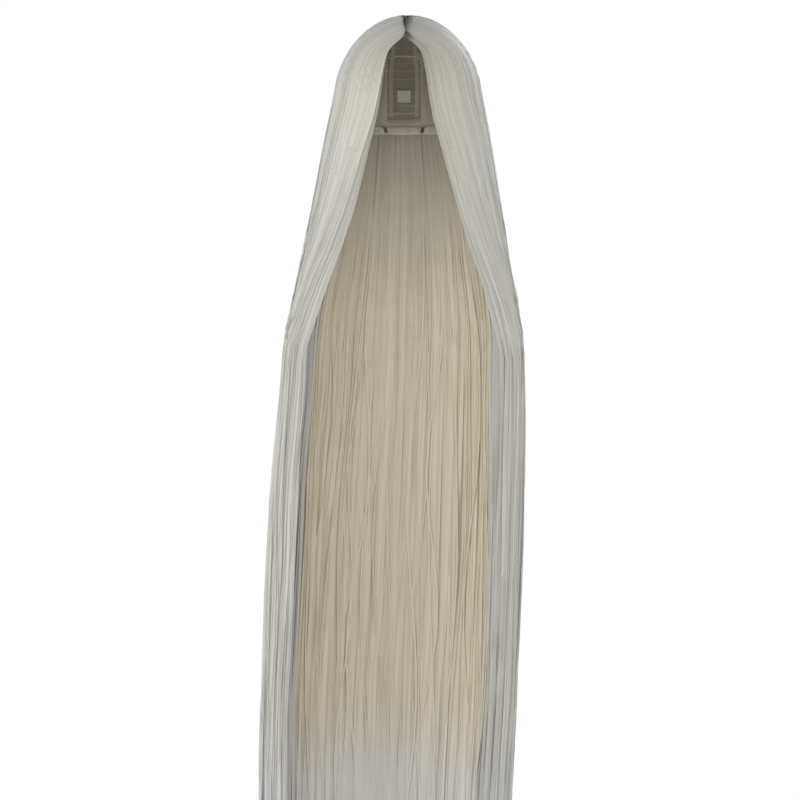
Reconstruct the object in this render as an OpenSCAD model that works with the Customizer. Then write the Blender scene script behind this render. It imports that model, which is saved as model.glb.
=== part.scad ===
// Long straight costume wig with a centre part. A stretch net cap carries rows of sewn wefts, and
// the hair falls from it as two side curtains and a back fall. Two elastic straps at the nape set
// the fit, and a tab in front of each ear holds the cap's edge to the temple.
// The wig faces -Y and the wearer's left is +X. The origin is the inside of the cap's crown.
// Angles round the head (th) start at the brow and reach 90 at an ear and 180 at the nape.
// Angles down the head (ph) start at the crown and reach 90 at the head's widest level.

/* [Head] */
// Width of the head inside the cap
head_w = 152; // [146:1:158]
// Length of the head inside the cap, brow to back
head_l = 190; // [184:1:196]
// Depth from the crown to the widest level of the head
crown_h = 100; // [96:1:104]

/* [Cap] */
// Thickness of the stretch net
net_t = 1; // [0.8:0.1:1]
// Thickness of the bands sewn round the cap's edge
band_t = 1; // [0.8:0.1:1]
// Thickness of a sewn weft track
weft_t = 1.5; // [1.1:0.1:1.5]
// Width of a sewn weft track, in degrees down the head
weft_w = 1.7; // [1.2:0.1:2]
// Width of the ribbon tapes behind the wefts, in degrees round the head
tape_w = 5; // [3:1:6]

/* [Ear tabs] */
// How far an ear tab reaches below the net, in degrees down the head
tab_drop = 17; // [13:1:18]

/* [Nape adjusters] */
// Width of an elastic strap
strap_w = 10; // [8:0.5:10]
// Length of an elastic strap, in degrees round the nape
strap_arc = 38; // [34:1:38]
// Size of the gap between two pockets, in degrees round the nape
pocket_step = 9; // [8:1:9]

/* [Hair] */
// Length of the hair from the crown to the tips
hair_len = 1500; // [1300:10:1600]
// Extra fullness of the hair over the sides of the head
fullness = 0; // [-3:1:6]
// Slit between the hair that lies on the shoulders and the hair that swings
swing_gap = 20; // [20:1:24]
// Depth from the crown to that slit
swing_z = 490; // [480:1:500]

/* [Hidden] */
$fn = 96;

left = 1;
right = -1;
hair_colour = "#c4c6b8";
shade_colour = "#a8a38c";
net_colour = "#d8d4c6";
tape_colour = "#e4e0d4";
metal_colour = "#b8babd";

// Layers, as distances outside the net's inner face; negative ones lie inside the cap.
layer_gap = 0.2;
band_in = net_t + layer_gap;
tape_out = band_in + 0.7;
weft_in = tape_out + 0.3;
weft_out = weft_in + weft_t;
lining_out = -1.4;

// The head below its widest level narrows over this depth.
nape_h = 120;
// Half width of the central net strip and of the seam beside it, in degrees.
strip_half = 20;
seam = 0.4;
strip_front = 51;
strip_break = 150;
strip_back = 205;

// Edge of the net: how far down the head it reaches, at each angle round the head.
rim = [[0, 39], [22, 52], [38, 66], [52, 86], [58, 95], [88, 95], [92, 93], [112, 94],
       [124, 104], [140, 114], [180, 115]];

// Ear tab outline.
tab_th = 73;
tab_half = 13;
tab_top = 95.8;

// Nape circle, on which the straps slide, and the slope of the nape.
nape_r = 60;
nape_y = 20;
nape_z = -160;
nape_slope = 0.39;
strap_from = 34;
hook_arc = 8;
hook_w = 7.6;
hook_t = 0.6;
sleeve_from = 40;
sleeve_to = 78;

// The hair's run (s) counts degrees down the dome to 90, then millimetres below that level.
// Each profile gives how far the hair stands beyond the head.
dome_top = 9;
side_out = [[90, 31], [165, 46], [253, 61], [342, 77], [401, 90], [461, 101], [550, 105],
            [690, 111], [1020, 115], [1300, 108], [1490, 92]];
front_out = [[90, 13], [128, -3], [176, -31], [224, -47], [304, -57], [403, -67], [474, -73]];
back_out = [[90, 27], [165, 35], [253, 47], [342, 60], [401, 71], [461, 81], [490, 83],
            [1150, 83], [1490, 66]];
side_t = [[90, 19], [165, 22], [290, 24], [474, 28], [560, 30], [1350, 28], [1490, 12]];
front_t = [[90, 9], [474, 8]];
back_t = [[90, 20], [474, 22], [1350, 20], [1490, 10]];
top_t = 4.7;
// The hair parts left of the dome's middle, and its tips lean to the wearer's right.
lean_out = [[0, 6], [165, 5], [253, 4], [342, 2], [450, 0], [550, -3], [690, -10], [870, -17],
            [1040, -24], [1160, -28], [1490, -34]];
lean_in = [[0, 0], [165, 2], [253, 4], [342, 2], [450, 0], [550, -3], [690, -10], [870, -17],
           [1040, -24], [1160, -28], [1490, -34]];
// Front edge of the hair beside the face, and the lines between its sections, round the head.
face_edge = [[42, 0.6], [50, 13], [58, 21], [90, 24], [128, 27], [176, 33], [224, 38],
             [304, 48], [358, 58], [403, 64], [446, 71], [474, 78], [1490, 75]];
front_side = [[0, 60], [90, 60], [176, 66], [304, 76], [403, 86], [474, 96]];
side_back = [[0, 118], [474, 118]];
section_gap = 1.2;

dome_rows = [2, 14, 26, 38, 46, 54, 62, 72, 81, 90];
upper_rows = concat(dome_rows, [120, 155, 195, 240, 290, 340, 390, 435],
                    [run_at(-swing_z + swing_gap)]);
fall_len = hair_len - dome_top - swing_z;
lower_rows = [for (k = [0:8]) run_at(-swing_z - k / 8 * fall_len)];

// ---- points and skins ----

function unit(v) = v / norm(v);
function dir(th, ph) = [sin(ph) * sin(th), -sin(ph) * cos(th), cos(ph)];
// A direction at lateral angle la, on an arc that runs at angle mu from the brow over the crown.
function over(la, mu) = [sin(la), -cos(la) * cos(mu), cos(la) * sin(mu)];
function run_at(z) = 90 - crown_h - z;
function head_pt(d, off) = [
    (head_w / 2 + off) * d[0],
    (head_l / 2 + off) * d[1],
    (d[2] > 0 ? crown_h + off : nape_h) * d[2] - crown_h
];
function rim_ph(th) = lookup(th > 180 ? 360 - th : abs(th), rim);
// Directions in rows from one edge to another.
function between(top, bottom, rows) =
    [for (i = [0:rows - 1]) [for (j = [0:len(top) - 1])
        unit(top[j] + (bottom[j] - top[j]) * i / (rows - 1))]];
function steps(a, b, n) = [for (k = [0:n]) a + (b - a) * k / n];

// A closed skin between an inner and an outer grid of points.
module slab(inner, outer) {
    rows = len(inner);
    cols = len(inner[0]);
    n = rows * cols;
    function at(i, j) = i * cols + j;
    outward = outer[0][0] - inner[0][0];
    flip = cross(outer[0][1] - outer[0][0], outer[1][0] - outer[0][0]) * outward > 0;
    cells = [for (i = [0:rows - 2], j = [0:cols - 2]) [i, j]];
    last = [rows - 1, cols - 1];
    quads = concat(
        [for (c = cells) n * [1, 1, 1, 1]
            + [at(c[0], c[1]), at(c[0], c[1] + 1), at(c[0] + 1, c[1] + 1), at(c[0] + 1, c[1])]],
        [for (c = cells)
            [at(c[0], c[1]), at(c[0] + 1, c[1]), at(c[0] + 1, c[1] + 1), at(c[0], c[1] + 1)]],
        [for (j = [0:cols - 2]) [n + at(0, j + 1), n + at(0, j), at(0, j), at(0, j + 1)]],
        [for (j = [0:cols - 2])
            [n + at(last[0], j), n + at(last[0], j + 1), at(last[0], j + 1), at(last[0], j)]],
        [for (i = [0:rows - 2]) [n + at(i, 0), n + at(i + 1, 0), at(i + 1, 0), at(i, 0)]],
        [for (i = [0:rows - 2])
            [n + at(i + 1, last[1]), n + at(i, last[1]), at(i, last[1]), at(i + 1, last[1])]]);
    triangles = [for (q = quads) each [[q[0], q[1], q[2]], [q[0], q[2], q[3]]]];
    polyhedron(
        points = concat([for (row = inner) each row], [for (row = outer) each row]),
        faces = [for (t = triangles) flip ? [t[2], t[1], t[0]] : t],
        convexity = 6);
}

// A piece of fabric that follows the head, between two distances from the net's inner face.
module shell(grid, off_in, off_out)
    slab([for (row = grid) [for (d = row) head_pt(d, off_in)]],
         [for (row = grid) [for (d = row) head_pt(d, off_out)]]);

// A piece bounded by angles round the head, whose top and bottom edges are given at each angle.
module wrap(ths, tops, bottoms, rows, off_in, off_out)
    shell(between([for (k = [0:len(ths) - 1]) dir(ths[k], tops[k])],
                  [for (k = [0:len(ths) - 1]) dir(ths[k], bottoms[k])], rows),
          off_in, off_out);

// ---- cap ----

module strip(mu_front, mu_back, rows, off_in, off_out, half = strip_half, hairline = 0) {
    mus = steps(0, 1, rows);
    las = steps(-half, half, 6);
    shell([for (m = mus) [for (la = las)
              let (front = mu_front - hairline * (la / strip_half) * (la / strip_half))
              over(la, front + (mu_back - front) * m)]],
          off_in, off_out);
}

module crown_net()
    color(net_colour) strip(strip_front, strip_break - seam, 11, 0, net_t, hairline = 12);

module back_net()
    color(net_colour) strip(strip_break + seam, strip_back, 6, 0, net_t);

module side_net(side) {
    mus = steps(50, 203, 12);
    ths = steps(25, 152, 12);
    color(net_colour)
        shell(between([for (mu = mus) over(side * (strip_half + seam), mu)],
                      [for (th = ths) dir(side * th, rim_ph(th))], 8),
              0, net_t);
}

module parting_strip()
    color(tape_colour) strip(57.2, 100, 8, band_in, band_in + 0.8, half = 6.5);

module front_band() {
    ths = steps(-54, 54, 24);
    color(tape_colour)
        wrap(ths, [for (th = ths) rim_ph(th) - 5], [for (th = ths) rim_ph(th)], 2,
             band_in, band_in + band_t);
}

module forehead_lining() {
    ths = steps(-46, 46, 18);
    color("#cfc8b8")
        wrap(ths, [for (th = ths) rim_ph(th) - 12], [for (th = ths) rim_ph(th) - 1], 3,
             lining_out - 1, lining_out);
}

module nape_band() {
    ths = steps(124, 236, 22);
    color(tape_colour)
        wrap(ths, [for (th = ths) rim_ph(th) - 3], [for (th = ths) rim_ph(th) + 9], 4,
             band_in, band_in + band_t);
}

module ribbon_tapes()
    color(tape_colour)
        for (th = [125, 145, 165, 195, 215, 235])
            wrap([th - tape_w / 2, th + tape_w / 2], [50, 50],
                 [rim_ph(th) - 5, rim_ph(th) - 5], 18, band_in, tape_out);

module care_label()
    color("white")
        wrap(steps(172, 188, 3), [90, 90, 90, 90], [99, 99, 99, 99], 3, lining_out - 0.7, lining_out);

// ---- wefts ----

module weft(th0, th1, ph, n) {
    ths = steps(th0, th1, n);
    wrap(ths, [for (th = ths) ph], [for (th = ths) ph + weft_w], 2, weft_in, weft_out);
}

module wefts_hairline() {
    ths = steps(-52, 52, 24);
    first = band_in + band_t + layer_gap;
    color(shade_colour)
        wrap(ths, [for (th = ths) rim_ph(th) - 4], [for (th = ths) rim_ph(th) - 1.5], 2,
             first, first + 1.2);
}

module wefts_crown(side)
    color(shade_colour)
        for (la = [9.5, 16.5, 23.5, 30.5]) {
            mus = steps(54 - la / 6, 128, 12);
            shell([for (edge = [la, la + weft_w]) [for (mu = mus) over(side * edge, mu)]],
                  weft_in, weft_out);
        }

// Each side row starts just behind the front band.
module wefts_side(side)
    color(shade_colour)
        for (ph = [59:7:87])
            weft(side * (lookup(ph, [[52, 22], [66, 38], [86, 52], [95, 58]]) + 7), side * 96, ph, 8);

module wefts_back()
    color(shade_colour)
        for (ph = [52:7:87])
            weft(98, 262, ph, 24);

module wefts_nape()
    color(shade_colour)
        for (ph = [94, 100, 106])
            weft(128 + (ph - 94), 232 - (ph - 94), ph, 16);

// ---- ear tabs ----

module tab_piece(side, half, top, drop, off_in, off_out) {
    us = steps(-1, 1, 8);
    wrap([for (u = us) side * (tab_th + half * u)], [for (u = us) top],
         [for (u = us) top + drop * (1 - 0.7 * pow(abs(u), 3))], 5, off_in, off_out);
}

module ear_tab(side)
    color(net_colour) tab_piece(side, tab_half, tab_top, tab_drop, 0, net_t);

module ear_tab_cover(side)
    color("#cfc8b8") tab_piece(side, tab_half - 2, tab_top + 2.5, tab_drop - 4, 2.4, 3.2);

module ear_tab_stay(side)
    color("#e8e6df")
        wrap([side * (tab_th - 1.5), side * (tab_th + 1.5)], [tab_top + 3, tab_top + 3],
             [tab_top + tab_drop - 4, tab_top + tab_drop - 4], 4, 1.3, 2.1);

// ---- nape adjusters ----

// A curved bar round the nape, between two angles from the middle of the back and two distances
// inside the nape circle. It leans with the nape.
module nape_bar(from, to, near, far, height, lift = 0)
    translate([0, nape_y, nape_z])
        rotate([0, 0, 90 - to])
            rotate_extrude(angle = to - from)
                polygon([for (corner = [[far, -1], [near, -1], [near, 1], [far, 1]])
                    let (z = lift + corner[1] * height / 2)
                    [nape_r - corner[0] + nape_slope * z, z]]);

module on_side(side)
    mirror([side < 0 ? 1 : 0, 0, 0]) children();

module adjuster_strap(side)
    color("#efece4") on_side(side)
        nape_bar(strap_from, strap_from + strap_arc, 2.4, 3.4, strap_w);

// The sleeve is open at both ends, and the strap feeds out of it.
module strap_sleeve(side)
    color(tape_colour) on_side(side)
        difference() {
            nape_bar(sleeve_from, sleeve_to, 1.5, 4.3, strap_w + 2.6);
            nape_bar(sleeve_from - 1, sleeve_to + 1, 2.1, 3.7, strap_w + 1);
        }

// A flat plate hook, leaning with the nape: the strap is sewn round its window's bar, and the
// tongue at its tip turns back outwards to catch in a pocket.
module adjuster_hook(side)
    color(metal_colour) on_side(side)
        translate([0, nape_y, nape_z])
            rotate([0, 0, -(strap_from - hook_arc / 2)])
                translate([0, nape_r - 2.9, 0])
                    rotate([-atan(nape_slope), 0, 0]) {
                        difference() {
                            cube([hook_w, hook_t, strap_w - 1], center = true);
                            translate([hook_w / 2 - 2.2, 0, 0])
                                cube([2, 2 * hook_t, strap_w - 3], center = true);
                        }
                        translate([-hook_w / 2, 0, -2]) cube([0.8, 0.9, 4]);
                        translate([-hook_w / 2, 0.5, -2]) cube([4.5, 0.4, 4]);
                    }

// A tape across the nape with raised loops that the hooks catch in.
module pocket_tape()
    color(tape_colour)
        union() {
            nape_bar(-36, 36, 0.5, 0.9, strap_w);
            for (k = [-3:3])
                nape_bar(k * pocket_step - 2.6, k * pocket_step + 2.6, 0.8, 1.5, strap_w - 3);
        }

// ---- hair ----

function hair_reach(s, table, head_half, thick) = head_half + lookup(s, table) - thick;
// A point of the hair's inner (0) or outer (1) face, s along the run and th degrees round.
function hair_pt(side, s, th, face) =
    let (
        t_side = face ? 0 : lookup(s, side_t),
        t_front = face ? 0 : lookup(s, front_t),
        t_back = face ? 0 : lookup(s, back_t),
        wide = hair_reach(s, side_out, head_w / 2 + fullness, t_side),
        fore = hair_reach(s, front_out, head_l / 2, t_front),
        aft = hair_reach(s, back_out, head_l / 2, t_back),
        bend = sin(min(s, 90)),
        top = crown_h + dome_top - (face ? 0 : top_t),
        z = s > 90 ? 90 - s - crown_h : top * cos(s) - crown_h
    )
    [lookup(s, face ? lean_out : lean_in) + side * wide * bend * sin(th),
     -(cos(th) > 0 ? fore : aft) * bend * cos(th), z];

// One section of hair down a list of rows, with its two edges given at each row.
module section(side, rows, edges, cols)
    slab([for (i = [0:len(rows) - 1]) [for (th = steps(edges[i][0], edges[i][1], cols))
             hair_pt(side, rows[i], th, 0)]],
         [for (i = [0:len(rows) - 1]) [for (th = steps(edges[i][0], edges[i][1], cols))
             hair_pt(side, rows[i], th, 1)]]);

module hair_front(side)
    color(hair_colour)
        section(side, upper_rows,
                [for (s = upper_rows) [lookup(s, face_edge), lookup(s, front_side)]], 7);

module hair_side(side)
    color(hair_colour)
        section(side, upper_rows,
                [for (s = upper_rows)
                    [lookup(s, front_side) + section_gap, lookup(s, side_back)]], 6);

module hair_back(side)
    color(shade_colour)
        section(side, upper_rows,
                [for (s = upper_rows) [lookup(s, side_back) + section_gap, 180 - section_gap / 4]], 7);

module curtain(side)
    color(hair_colour)
        section(side, lower_rows,
                [for (s = lower_rows) [lookup(s, face_edge), lookup(s, side_back)]], 6);

module back_fall(side)
    color(shade_colour)
        section(side, lower_rows,
                [for (s = lower_rows)
                    [lookup(s, side_back) + 2 * section_gap, 180 - section_gap / 4]], 7);

// The shorter layer that hangs from the nape wefts, in front of the back hair.
module hair_nape() {
    rows = [162, 195, 235, 285, 340, 395, run_at(-swing_z + swing_gap)];
    ths = steps(136, 224, 9);
    face = [for (lay = [14, 3]) [for (s = rows) [for (th = ths)
        let (wide = hair_reach(s, side_out, head_w / 2, lookup(s, side_t) + lay),
             aft = hair_reach(s, back_out, head_l / 2, lookup(s, back_t) + lay))
        [lookup(s, lean_in) + wide * sin(th), -aft * cos(th), 90 - s - crown_h]]]];
    color(shade_colour) slab(face[0], face[1]);
}

crown_net();
back_net();
side_net(left);  // side_net_left
side_net(right);  // side_net_right
parting_strip();
front_band();
forehead_lining();
nape_band();
ribbon_tapes();
care_label();
wefts_hairline();
wefts_crown(left);  // wefts_crown_left
wefts_crown(right);  // wefts_crown_right
wefts_side(left);  // wefts_side_left
wefts_side(right);  // wefts_side_right
wefts_back();
wefts_nape();
ear_tab(left);  // ear_tab_left
ear_tab(right);  // ear_tab_right
ear_tab_cover(left);  // ear_tab_cover_left
ear_tab_cover(right);  // ear_tab_cover_right
ear_tab_stay(left);  // ear_tab_stay_left
ear_tab_stay(right);  // ear_tab_stay_right
pocket_tape();
strap_sleeve(left);  // strap_sleeve_left
strap_sleeve(right);  // strap_sleeve_right
adjuster_strap(left);  // adjuster_strap_left
adjuster_strap(right);  // adjuster_strap_right
adjuster_hook(left);  // adjuster_hook_left
adjuster_hook(right);  // adjuster_hook_right
hair_front(left);  // hair_front_left
hair_front(right);  // hair_front_right
hair_side(left);  // hair_side_left
hair_side(right);  // hair_side_right
hair_back(left);  // hair_back_left
hair_back(right);  // hair_back_right
hair_nape();
curtain(left);  // curtain_left
curtain(right);  // curtain_right
back_fall(left);  // back_fall_left
back_fall(right);  // back_fall_right
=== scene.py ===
"""Costume wig: its looks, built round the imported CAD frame. All lengths are in metres.

The wig faces -Y and the wearer's left is +X. Angles round the head (th) start at the brow and
reach 90 at an ear and 180 at the nape, in degrees. A run down the hair counts degrees down the
dome to 90, and then 90 plus the millimetres below that level.
"""
import math

import bpy
import numpy as np
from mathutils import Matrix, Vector


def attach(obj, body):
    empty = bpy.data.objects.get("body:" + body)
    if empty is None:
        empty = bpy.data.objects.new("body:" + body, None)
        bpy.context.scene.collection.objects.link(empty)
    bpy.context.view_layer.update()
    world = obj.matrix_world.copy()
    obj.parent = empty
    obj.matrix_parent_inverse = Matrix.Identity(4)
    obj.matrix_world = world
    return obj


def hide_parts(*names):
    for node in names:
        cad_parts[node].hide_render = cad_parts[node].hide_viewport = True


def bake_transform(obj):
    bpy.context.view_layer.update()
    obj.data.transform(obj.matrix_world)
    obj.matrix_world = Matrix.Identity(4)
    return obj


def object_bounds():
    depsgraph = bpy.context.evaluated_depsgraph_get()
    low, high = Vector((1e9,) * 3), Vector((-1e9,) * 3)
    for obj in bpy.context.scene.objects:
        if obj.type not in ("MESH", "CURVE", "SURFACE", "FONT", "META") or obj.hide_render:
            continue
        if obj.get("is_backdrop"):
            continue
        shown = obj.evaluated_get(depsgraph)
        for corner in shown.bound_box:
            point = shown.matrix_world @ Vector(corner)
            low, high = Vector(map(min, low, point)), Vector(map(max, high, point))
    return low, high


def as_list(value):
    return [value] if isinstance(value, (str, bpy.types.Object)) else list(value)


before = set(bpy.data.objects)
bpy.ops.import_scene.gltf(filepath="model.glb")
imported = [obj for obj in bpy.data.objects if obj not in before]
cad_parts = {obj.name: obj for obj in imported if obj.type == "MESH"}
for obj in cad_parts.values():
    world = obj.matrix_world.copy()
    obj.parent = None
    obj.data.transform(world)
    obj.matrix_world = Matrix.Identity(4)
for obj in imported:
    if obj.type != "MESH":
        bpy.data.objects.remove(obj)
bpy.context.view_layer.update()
scene = bpy.context.scene
draw = np.random.default_rng(11)
MM = 0.001
LEFT, RIGHT = 1, -1
SIDES = (("left", LEFT), ("right", RIGHT))

# ---- camera, light and floor ----

EYE = Vector((-0.006, -4.0, -0.116))
AIM = Vector((-0.006, 0.0, -0.559))
LENS_MM = 121.6
FLOOR_Z, FLOOR_RADIUS, FLOOR_SIDES = -1.53, 0.95, 96
WHITE, BLACK, ZENITH = (1, 1, 1, 1), (0, 0, 0, 1), (0.5, 0.5, 0.54, 1)

camera = bpy.data.objects.new("camera", bpy.data.cameras.new("camera"))
camera.data.lens = LENS_MM
camera.location = EYE
camera.rotation_euler = (AIM - EYE).to_track_quat("-Z", "Y").to_euler()
scene.collection.objects.link(camera)
scene.camera = camera
scene.view_settings.view_transform = "Standard"

scene.world = bpy.data.worlds.new("studio")
scene.world.use_nodes = True
sky = scene.world.node_tree.nodes
background = sky["Background"]
height = sky.new("ShaderNodeSeparateXYZ")
ceiling = sky.new("ShaderNodeValToRGB")
walls, top = ceiling.color_ramp.elements
walls.position, walls.color = 0.2, WHITE
top.position, top.color = 0.9, ZENITH
link = scene.world.node_tree.links.new
link(sky.new("ShaderNodeTexCoord").outputs["Generated"], height.inputs[0])
link(height.outputs["Z"], ceiling.inputs[0])
link(ceiling.outputs["Color"], background.inputs["Color"])


def soft_light(name, place, aim, size, watts):
    """A square lamp at a place, turned towards a point."""
    light = bpy.data.objects.new(name, bpy.data.lights.new(name, "AREA"))
    light.data.size, light.data.energy = size, watts
    light.location = place
    light.rotation_euler = (Vector(aim) - Vector(place)).to_track_quat("-Z", "Y").to_euler()
    scene.collection.objects.link(light)


soft_light("key", (-2.3, -1.2, -1.4), (0, 0, -0.9), 1.4, 17)
soft_light("front", (-0.5, -3.2, -0.9), (0, 0, -1.0), 1.8, 9.5)
soft_light("back", (1.5, 2.2, 0.9), (0, 0, -0.6), 1.3, 10)


# ---- materials ----

def srgb(red, green, blue):
    """A colour given as a screen shows it, from 0 to 255, in the shader's own units."""
    return tuple(((c / 255 + 0.055) / 1.055) ** 2.4 for c in (red, green, blue)) + (1,)


ATTRIBUTE_NUMBER, OBJECT_PLACE = "Fac", "Object"
MIX_SHARE, MIX_FIRST, MIX_SECOND, MIX_COLOUR = 0, 6, 7, 2


class Shader:
    """A material on one Principled node, built up from small calls that return sockets."""

    def __init__(self, name, roughness=0.8, **constants):
        self.material = bpy.data.materials.new(name)
        self.material.use_nodes = True
        self.tree = self.material.node_tree
        self.surface = self.tree.nodes["Principled BSDF"]
        self.surface.inputs["Roughness"].default_value = roughness
        for key, value in constants.items():
            self.surface.inputs[key.replace("_", " ")].default_value = value

    def node(self, kind, inputs=(), output=0, **settings):
        made = self.tree.nodes.new("ShaderNode" + kind)
        for key, value in settings.items():
            setattr(made, key, value)
        for slot, value in dict(inputs).items():
            if isinstance(value, bpy.types.NodeSocket):
                self.tree.links.new(value, made.inputs[slot])
            else:
                made.inputs[slot].default_value = value
        return made.outputs[output]

    def attribute(self, name):
        return self.node("Attribute", output=ATTRIBUTE_NUMBER, attribute_name=name)

    def place(self):
        """The point on the object, in metres."""
        return self.node("TexCoord", output=OBJECT_PLACE)

    def math(self, operation, a, b=0.0, c=0.0):
        return self.node("Math", {0: a, 1: b, 2: c}, operation=operation)

    def vector(self, x=0.0, y=0.0, z=0.0):
        return self.node("CombineXYZ", {0: x, 1: y, 2: z})

    def sine(self, value, pitch):
        return self.math("SINE", self.math("MULTIPLY", value, 2 * math.pi / pitch))

    def wave(self, value, pitch):
        return self.math("MULTIPLY_ADD", self.sine(value, pitch), 0.5, 0.5)

    def scaled(self, vector, x, y, z):
        return self.node("VectorMath", {0: vector, 1: (x, y, z)}, operation="MULTIPLY")

    def noise(self, vector, scale=1.0, detail=2.0, rough=0.5):
        return self.node("TexNoise", {"Vector": vector, "Scale": scale, "Detail": detail,
                                      "Roughness": rough})

    def ramp(self, value, *stops):
        colour = self.node("ValToRGB", {0: value})
        points = colour.node.color_ramp.elements
        while len(points) < len(stops):
            points.new(0.5)
        for point, (at, shade) in zip(points, stops):
            point.position, point.color = at, shade
        return colour

    def mix(self, share, a, b):
        return self.node("Mix", {MIX_SHARE: share, MIX_FIRST: a, MIX_SECOND: b},
                         output=MIX_COLOUR, data_type="RGBA")

    def feed(self, name, socket):
        self.tree.links.new(socket, self.surface.inputs[name])

    def bump(self, height, depth, strength=1.0):
        self.feed("Normal", self.node("Bump", {"Height": height, "Distance": depth,
                                               "Strength": strength}))


# The fibre's colour: the share of its fine and broad streaks and of each lock's own tone, the tone
# above which a lock is golden, and the painted shade that its roots and the inner hair near the
# cap fade to.
FINE_SHARE, BROAD_SHARE, TONE_SHARE = 0.60, 0.35, 0.24
LOTS = 50.0
GOLD_FROM, GOLD_SHARE = 0.55, 1.5
ROOT_SHADOW = srgb(132, 127, 118)


def hair_material(name, deep, middle, light, cool, gold):
    """Straight synthetic fibre: streaks along it, a tone for each lock, a cool cast, which over
    the dome's top and on the flanks is painted light, and painted shade at its roots and near the
    cap.
    across is in millimetres and run in quarter metres."""
    s = Shader(name, Specular_IOR_Level=0.42, Sheen_Weight=0.12, Sheen_Roughness=0.4)
    across, run, tone = s.attribute("across"), s.attribute("run"), s.attribute("tone")
    lot = s.math("MULTIPLY", tone, LOTS)
    fine = s.noise(s.vector(s.math("MULTIPLY", across, 1.1), s.math("MULTIPLY", run, 2.5), lot),
                   detail=3.0, rough=0.6)
    broad = s.noise(s.vector(s.math("MULTIPLY", across, 0.22), run, lot), detail=1.0)
    value = s.math("MULTIPLY", tone, TONE_SHARE)
    value = s.math("MULTIPLY_ADD", broad, BROAD_SHARE, value)
    value = s.math("MULTIPLY_ADD", fine, FINE_SHARE, value)
    colour = s.ramp(value, (0.38, deep), (0.62, middle), (0.86, light))
    golden = s.math("MAXIMUM", s.math("SUBTRACT", tone, GOLD_FROM), 0.0)
    golden = s.math("MULTIPLY", golden, GOLD_SHARE)
    colour = s.mix(golden, colour, gold)
    # The tint attribute mixes in a cool grey cast: towards the tips, and over the dome's top and
    # on the flanks as painted light.
    colour = s.mix(s.attribute("tint"), colour, s.mix(value, deep, cool))
    # Painted shade: the root attribute darkens the fibre towards ROOT_SHADOW at its roots and near
    # the cap.
    s.feed("Base Color", s.mix(s.attribute("root"), colour, ROOT_SHADOW))
    s.feed("Roughness", s.math("MULTIPLY_ADD", fine, 0.22, 0.30))
    fibre = s.noise(s.vector(s.math("MULTIPLY", across, 2.0), s.math("MULTIPLY", run, 3.0), lot))
    s.bump(fibre, 0.00006, 0.3)
    return s.material


HAIR = hair_material("hair_fibre", srgb(168, 166, 150), srgb(187, 186, 172),
                     srgb(205, 204, 193), srgb(201, 201, 212), srgb(201, 197, 174))
# A warmer copy of the fibre for the back hair seen from inside: its warm tan is painted light, for
# the warm light bounced round inside the hair.
HAIR_BACK = hair_material("hair_fibre_inside", srgb(198, 190, 163), srgb(212, 204, 180),
                          srgb(224, 217, 195), srgb(226, 225, 230), srgb(214, 205, 176))


def cloth_material(name, light, dark, thread, pitch, ribs=False, fuzz=0.35, depth=0.00012):
    """A weave of the given pitch in millimetres, in ribs or plain, with slubs and stitching."""
    s = Shader(name, 0.85, Sheen_Weight=0.25, Sheen_Roughness=0.5, Specular_IOR_Level=0.25)
    across, along = s.attribute("across"), s.attribute("along")
    if ribs:
        weave = s.wave(along, pitch)
    else:
        weave = s.math("MULTIPLY_ADD", s.sine(across, 2 * pitch),
                       s.math("MULTIPLY", s.sine(along, 2 * pitch), 0.5), 0.5)
    slub = s.noise(s.vector(s.math("MULTIPLY", across, 0.7 / pitch),
                            s.math("MULTIPLY", along, 0.35 / pitch)), 1.0, 3.0, 0.65)
    value = s.math("MULTIPLY_ADD", slub, fuzz, s.math("MULTIPLY", weave, 1 - fuzz))
    colour = s.mix(value, dark, light)
    worn = s.ramp(s.noise(s.place(), 45.0, 3.0), (0.35, BLACK), (0.75, (0.4, 0.4, 0.4, 1)))
    colour = s.mix(worn, colour, dark)
    s.feed("Base Color", s.mix(s.attribute("stitch"), colour, thread))
    s.feed("Roughness", s.math("MULTIPLY_ADD", slub, 0.2, 0.7))
    s.bump(value, depth, 0.8)
    return s.material


def weft_material():
    """Fibres folded over a track, held by three rows of stitches."""
    s = Shader("weft_track", 0.6, Sheen_Weight=0.15, Sheen_Roughness=0.4,
               Specular_IOR_Level=0.35)
    across, along = s.attribute("across"), s.attribute("along")
    fibre = s.noise(s.vector(s.math("MULTIPLY", across, 0.35),
                             s.math("MULTIPLY", along, 5.0)), 1.0, 3.0, 0.6)
    colour = s.ramp(fibre, (0.3, srgb(150, 141, 118)), (0.5, srgb(190, 181, 156)),
                    (0.75, srgb(216, 209, 188)))
    rows = s.ramp(s.math("MULTIPLY", s.wave(across, 0.8), s.wave(along, 2.2)),
                  (0.45, BLACK), (0.6, WHITE))
    s.feed("Base Color", s.mix(rows, colour, srgb(226, 222, 208)))
    s.bump(s.math("ADD", fibre, rows), 0.00015, 0.8)
    return s.material


def moulded_material():
    """Matt plastic with a fine moulded grain."""
    s = Shader("moulded_strip", 0.55, Specular_IOR_Level=0.4)
    grain = s.noise(s.place(), 900.0, 3.0, 0.6)
    s.feed("Base Color", s.ramp(grain, (0.3, srgb(214, 210, 198)), (0.7, srgb(232, 229, 220))))
    s.feed("Roughness", s.math("MULTIPLY_ADD", grain, 0.25, 0.42))
    s.bump(grain, 0.00004, 0.5)
    return s.material


def plated_material():
    """Plated wire, drawn along its length and dulled in patches."""
    s = Shader("plated_wire", 0.25, Metallic=1.0)
    brushed = s.noise(s.scaled(s.place(), 300, 300, 2500), 1.0, 3.0, 0.6)
    dull = s.noise(s.place(), 160.0, 2.0)
    s.feed("Base Color", s.ramp(dull, (0.35, srgb(176, 178, 182)), (0.7, srgb(216, 218, 222))))
    s.feed("Roughness", s.math("MULTIPLY_ADD", brushed, 0.25, 0.14))
    s.bump(brushed, 0.00002, 0.4)
    return s.material


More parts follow.
